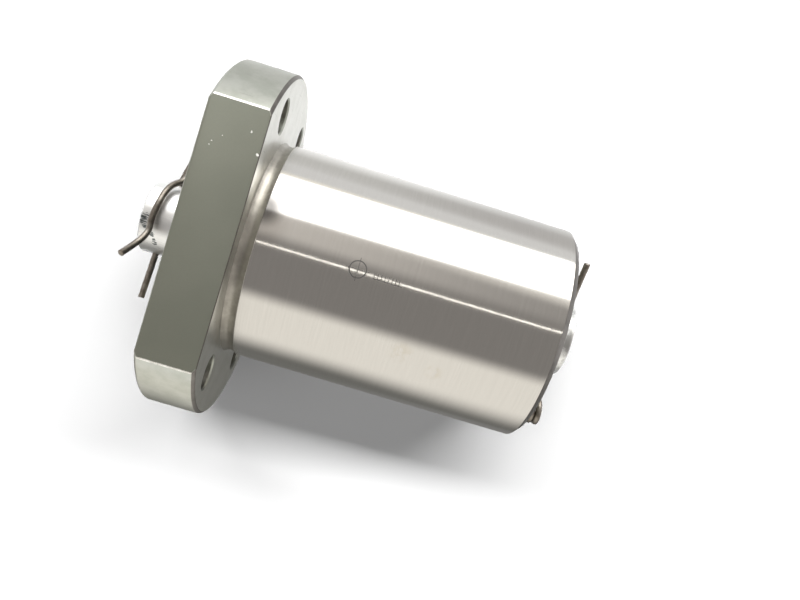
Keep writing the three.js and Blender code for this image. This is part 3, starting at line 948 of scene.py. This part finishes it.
def clamp_screw(name, at):
    head = CLAMP["thickness"] + GAP
    thread = CLAMP_SCREW["thread"]
    profile = [(-CLAMP_SCREW["length"], thread), (0, thread), (0, 2.75 * MM), (1.0 * MM, 2.7 * MM),
        (1.6 * MM, 2.1 * MM), (1.6 * MM, 1.4 * MM)]
    seat = Vector((at.x, at.y, POCKET_FLOOR - head))
    axis = Vector((0, 0, -1))
    return socket_screw(name, profile, 48, CLAMP_SCREW["socket"], CLAMP_SCREW["depth"], seat, axis)


def grub_screw(name, bottom, axis, length, radius, socket, depth):
    lip = 0.25 * MM
    profile = [(0, radius - lip), (lip, radius), (length - lip, radius), (length, radius - lip),
        (length, socket + 0.1 * MM)]
    return socket_screw(name, profile, 40, socket, depth, bottom, axis)


def ball_circuits():
    for side, start in CIRCUITS.items():
        loaded, returning = ball_centres(start)
        for kind, centres in (("loaded", loaded), ("returning", returning)):
            row = ball_row(f"{kind}_ball_row_{side}", centres)
            finish_piece(row, "nut", f"{kind}_balls_{side}", "ball_steel", BALLS)
        tube = return_tube(f"return_tube_drawn_{side}", start)
        finish_piece(tube, "nut", f"return_tube_{side}", "tube_steel", TUBES)
        clamp = tube_clamp(f"tube_saddle_{side}", start)
        finish_piece(clamp, "nut", f"tube_clamp_{side}", "clamp_steel", SHEET)
        for i, at in enumerate(clamp_screw_points(start), 1):
            screw = clamp_screw(f"saddle_screw_{side}_{i}", at)
            finish_piece(screw, "nut", f"clamp_screw_{side}_{i}", "black_oxide", BLACK)


# ---- Seals and small parts ----


def seal(name, end):
    """A wiper with a thin lip at its inner side and a shallow groove in its outer face."""
    radius, hole, length = SEAL["radius"], SEAL["hole"], SEAL["length"]
    profile = [
        (0, hole + 0.3 * MM), (0, hole + 1.6 * MM), (0.5 * MM, hole + 1.9 * MM),
        (0.5 * MM, hole + 3.4 * MM), (0, hole + 3.7 * MM), (0, radius - 0.4 * MM),
        (0.4 * MM, radius), (length, radius), (length, hole + 1.2 * MM),
        (0.4 * length, hole + 1.2 * MM), (0.3 * length, hole), (0.3 * MM, hole),
    ]
    inwards = 1 if end == "flange" else -1
    face = (OUTER_FACE if end == "flange" else NOSE) + inwards * SEAL["recess"]
    origin, axis = Vector((face, 0, 0)), Vector((inwards, 0, 0))
    return smoothed(lathe(name, profile, 128, closed=True, origin=origin, axis=axis))


def seals_and_plug():
    for end, angles in SEAL_SCREWS.items():
        finish_piece(seal(f"wiper_{end}", end), "nut", f"seal_{end}", "seal_plastic", PLASTIC)
        for i, degrees in enumerate(angles, 1):
            outwards = around(0, 1, degrees)
            bottom = around(seal_middle(end), SEAL_SCREW_START, degrees)
            screw = grub_screw(f"wiper_screw_{end}_{i}", bottom, outwards, **SEAL_SCREW)
            finish_piece(screw, "nut", f"seal_set_screw_{end}_{i}", "black_oxide", BLACK)
    bottom = Vector((GREASE_X, FLANGE_RADIUS - GREASE["inset"] - GREASE_PLUG["length"], 0))
    plug = grub_screw("grease_hole_plug", bottom, Vector((0, 1, 0)), **GREASE_PLUG)
    finish_piece(plug, "nut", "grease_plug", "black_oxide", BLACK)


# ---- Mandrel and clips ----

# Each clip's place and the turn of its straight leg, how far its ring bows towards the nut, how much
# its bent leg's tip splays away from the nut, and how far that tip leans along the straight leg.
CLIPS = {
    "flange": {"x": mandrel_low.x + 4.35 * MM, "outwards": -1, "turn": 8,
        "bow": -2.6, "splay": 1, "lean": 0},
    "nose": {"x": mandrel_high.x - 3.6 * MM, "outwards": 1, "turn": 20,
        "bow": 0, "splay": 0.2, "lean": 3.4},
}


def clip_frame(place):
    """+X along the clip's straight leg to its tip, +Y towards its bent leg, +Z away from the nut."""
    away = Vector((place["outwards"], 0, 0))
    tip = around(0, place["outwards"], -place["turn"])
    return placed(tip, away.cross(tip), away, Vector((place["x"], 0, 0)))


def mandrel():
    radius, hole, lip = MANDREL["radius"], MANDREL["hole"], MANDREL["chamfer"]
    start, end = mandrel_low.x, mandrel_high.x
    corner = 0.2 * MM
    tube = lathe("mandrel_tube", [
        (start, hole + corner), (start, radius - lip), (start + lip, radius), (end - lip, radius),
        (end, radius - lip), (end, hole + corner), (end - corner, hole), (start + corner, hole),
    ], 128, closed=True)
    reach = Vector((radius + MM, 0, 0))
    frames = [clip_frame(place) for place in CLIPS.values()]
    boolean(tube, [rod("clip_hole", at @ -reach, at @ reach, MANDREL["clip_hole"], 32) for at in frames])
    bevelled(tube, 0.12 * MM)
    return finish_piece(smoothed(tube), "mandrel", "mandrel", "mandrel_aluminium", ALUMINIUM)


def clip_line(bow, splay, lean):
    """A clip's centre line: straight leg, ring of one and a half turns, and the bent leg.

    Its numbers are millimetres in the clip's frame.
    """
    ring_centre, ring_radius, turns, side_step, steps = -22.5, 3, 1.5, -1.75, 12
    straight_leg = ((22.6, 0), (12, 0), (0, 0), (-9, 0.07), (-12, 0.21), (-15.5, 0.46), (-19, 0.71))
    points = [Vector((along, 0, bent * bow)) for along, bent in straight_leg]
    for i in range(int(turns * steps) + 1):
        angle = 2 * math.pi * i / steps
        points.append(Vector((
            ring_centre - ring_radius * math.sin(angle),
            ring_radius - ring_radius * math.cos(angle),
            bow + side_step * i / steps,
        )))
    ring_end = bow + side_step * turns
    from_ring = ((-19.3, 5.6, 0.97), (-16.2, 4.8, 0.85), (-13.6, 4.3, 0.66), (-11, 5.2, 0.42),
        (-8.3, 8.1, 0.1))
    points += [Vector((along, up, share * ring_end)) for along, up, share in from_ring]
    to_tip = ((-5.5, 10.3, 0, 0), (-2.2, 11.4, 0.35, 0), (2, 11.5, 0.75, 0), (5.3, 11, 0.7, 0),
        (7.8, 11.9, 1.3, 0.1), (10.5, 14, 2.4, 0.45), (13.6, 17.6, 3.5, 1))
    points += [Vector((along + share * lean, up, side * splay)) for along, up, side, share in to_tip]
    return [p * MM for p in spline_through(points, 6)]


def clip(end):
    line = clip_line(*(CLIPS[end][key] for key in ("bow", "splay", "lean")))
    # Each cut end has a small rounded edge.
    lip = 0.15 * MM
    start_way, end_way = (line[1] - line[0]).normalized(), (line[-2] - line[-1]).normalized()
    line = [line[0], line[0] + lip * start_way, *line[1:-1], line[-1] + lip * end_way, line[-1]]
    radii = [WIRE_RADIUS - lip] + [WIRE_RADIUS] * (len(line) - 2) + [WIRE_RADIUS - lip]
    wire = loft(f"r_clip_{end}", line_rings(line, radii), 20)
    wire.data.transform(clip_frame(CLIPS[end]))
    return finish_piece(smoothed(wire, 35), f"{end}_clip", f"clip_{end}", "spring_steel", SPRING)


# ---- Stage, lights and camera ----

WALL = (1.17, 1.13, 1.05)
# The window is a stack of panes of growing height, each a little behind the last, for soft edges.
PANES = {"count": 5, "distance": 1.2, "behind": 0.01, "height": 0.98, "growth": 0.04, "radiance": 3.0}
# The standing card and its dark strip glow with painted shade, and the sheet glows with a painted
# reflection of the lit table.
CARD = {"half_length": 400 * MM, "y": -62 * MM, "head": 28 * MM, "foot_to": -36 * MM, "lift": 0.5 * MM}
FLOOR_SHEET = {"half_length": 1200 * MM, "from": 40 * MM, "to": 3000 * MM}


def floor():
    middle = Vector((SEAT, 0, -HALF_FLATS))
    turn = Vector((0, 0, 1)).rotation_difference(TABLE_NORMAL).to_matrix().to_4x4()
    bm = bmesh.new()
    bmesh.ops.create_grid(bm, x_segments=1, y_segments=1, size=4.0)
    table = from_bmesh("table", bm)
    table.data.transform(Matrix.Translation(middle) @ turn)
    table.data.materials.append(surface("table_top", table_top, metallic=0.0, Specular_IOR_Level=0.1))


def world():
    """A room by the angle round the nut's axis: dim overhead, with a pale warm wall on the -Y side."""
    room = bpy.data.worlds.new("room")
    bpy.context.scene.world = room
    room.use_nodes = True
    room.cycles_visibility.diffuse = False
    room.node_tree.nodes.clear()
    g = Graph(room.node_tree)
    x, y, z = g.axes(g.node("ShaderNodeTexCoord", out="Generated"))
    turn = g.math("ARCTAN2", y, z)

    def degrees(low, high):
        return g.ramp(turn, math.radians(low), math.radians(high))

    colour = g.mix(degrees(-38, -55), (0.31, 0.294, 0.28), WALL)
    by_window = g.mix(g.ramp(x, -0.12, 0.26), (0.82, 0.78, 0.73), (0.44, 0.42, 0.40))
    colour = g.mix(degrees(8, 24), colour, by_window)
    glow = g.times(degrees(31, 44), g.ramp(x, -0.1, 0.3))
    colour = g.mix(glow, colour, WALL)
    colour = g.mix(degrees(62, 84), colour, WALL)
    far = g.ramp(g.math("ABSOLUTE", x), 0.45, 0.85)
    colour = g.mix(far, colour, (0.62, 0.59, 0.56))
    background = g.node("ShaderNodeBackground", {"Color": colour, "Strength": 1.0})
    g.node("ShaderNodeOutputWorld", {"Surface": background})


def softbox(name, degrees, distance, width, height, radiance, colour=(1, 1, 1), roll=0):
    """A rectangular light along the axis, at an angle from +Y towards +Z, facing the nut.

    A roll in degrees drops its +X end towards the table on the +Y side.
    """
    lamp = bpy.data.lights.new(name, "AREA")
    lamp.shape = "RECTANGLE"
    lamp.size = width
    lamp.size_y = height
    lamp.energy = radiance * math.pi * width * height
    lamp.color = colour
    light = bpy.data.objects.new(name, lamp)
    bpy.context.scene.collection.objects.link(light)
    away = around(0, 1, degrees)
    side = Matrix.Rotation(math.radians(roll), 3, away) @ Vector((1, 0, 0))
    light.matrix_world = placed(side, away.cross(side), away, distance * away)
    return light


def table_height(x):
    return -HALF_FLATS + (x - SEAT) * math.tan(TABLE_TILT)


def card(name, corners, colour_of):
    """A glowing panel that only polished steel sees, carrying painted light and shade for it to reflect.
    It lies on the table or stands on it.
    """
    bm = bmesh.new()
    bm.faces.new([bm.verts.new(corner) for corner in corners])
    panel = from_bmesh(name, bm)
    material, g = empty_material(name)
    colour = colour_of(g, *g.axes(g.position()))
    shine = g.node("ShaderNodeEmission", {"Color": colour})
    g.node("ShaderNodeOutputMaterial", {"Surface": shine})
    panel.data.materials.append(material)
    panel.visible_camera = panel.visible_diffuse = False
    panel.visible_shadow = panel.visible_transmission = False


def cards():
    """What polished steel sees near the table, as glowing panels. On the -Y side is a standing card,
    dark towards the table, with a dark strip at its foot; both are painted shade for the table's shadow.
    On the +Y side is a sheet, a painted reflection of the lit table, brightest beside the nut."""

    def lying(end, near, far):
        corners = ((-end, near), (end, near), (end, far), (-end, far))
        return [Vector((x, y, table_height(x) + CARD["lift"])) for x, y in corners]

    def painted_shade_card_colour(g, x, y, z):
        dark_to = g.ramp(x, SEAT + 20 * MM, NOSE, -22 * MM, -31 * MM)
        pale = g.math("POWER", g.ramp(z, dark_to, 20 * MM), 2.0)
        return g.mix(pale, (0.205, 0.203, 0.19), WALL)

    def painted_shadow_strip_colour(g, x, y, z):
        return g.mix(g.ramp(x, SEAT, NOSE), (0.185, 0.183, 0.17), (0.24, 0.238, 0.228))

    def painted_lit_table_colour(g, x, y, z):
        near = g.ramp(y, 48 * MM, g.ramp(x, SEAT, NOSE, 98 * MM, 78 * MM))
        along = g.ramp(x, SEAT + 20 * MM, NOSE)
        bright = g.mix(along, (1.14, 1.14, 1.13), (0.86, 0.86, 0.85))
        far = g.ramp(y, 95 * MM, 250 * MM)
        grey = g.mix(g.ramp(x, SEAT, NOSE), (0.80, 0.80, 0.78), (0.68, 0.67, 0.66))
        return g.mix(far, g.mix(near, bright, grey), (0.98, 0.98, 0.98))

    end, y, head = CARD["half_length"], CARD["y"], CARD["head"]
    feet = [Vector((x, y, table_height(x))) for x in (-end, end)]
    card("standing_card", [*feet, Vector((end, y, head)), Vector((-end, y, head))], painted_shade_card_colour)
    card("painted_table_shadow", lying(end, y, CARD["foot_to"]), painted_shadow_strip_colour)
    card("sheet", lying(*FLOOR_SHEET.values()), painted_lit_table_colour)


def lights():
    """Polished steel sees a window, a tube lamp, the cards and the room. The matt table sees a key
    light and a soft fill."""
    world()
    radiance = PANES["radiance"] / PANES["count"]
    for i in range(PANES["count"]):
        height = PANES["height"] + PANES["growth"] * (i - PANES["count"] // 2)
        distance = PANES["distance"] + PANES["behind"] * i
        pane = softbox(f"window_{i}", 26, distance, 2.0, height, radiance, roll=7)
        pane.visible_diffuse = False
    tube_lamp = softbox("tube_lamp", degrees=82.7, distance=1.0, width=1.6, height=0.008,
        radiance=7.5, colour=(1, 0.97, 0.9), roll=2)
    tube_lamp.visible_diffuse = False
    key = softbox("key", degrees=56.5, distance=1.2, width=1.7, height=0.24, radiance=82.0)
    fill = softbox("fill", degrees=125, distance=1.5, width=2.5, height=2.5, radiance=2.8)
    key.visible_glossy = fill.visible_glossy = False
    cards()


def camera():
    """A close camera, looking almost straight down on the table, turned 17 degrees about its view."""
    cam = bpy.data.cameras.new("camera")
    cam.sensor_width = 36
    cam.lens = 33.36
    cam.clip_start = 0.01
    view = bpy.data.objects.new("camera", cam)
    bpy.context.scene.collection.objects.link(view)
    right = Vector((0.95548, 0.29216, 0.04123)).normalized()
    back = Vector((-0.0527, 0.03151, 0.99811))
    back = (back - back.dot(right) * right).normalized()
    at = Vector((SEAT + 31.43 * MM, 4.139 * MM, 209.127 * MM))
    view.matrix_world = placed(right, back.cross(right), back, at)
    bpy.context.scene.camera = view


nut_body()
ball_circuits()
seals_and_plug()
mandrel()
for end_name in CLIPS:
    clip(end_name)
floor()
lights()
camera()
bpy.context.scene.view_settings.view_transform = "Standard"
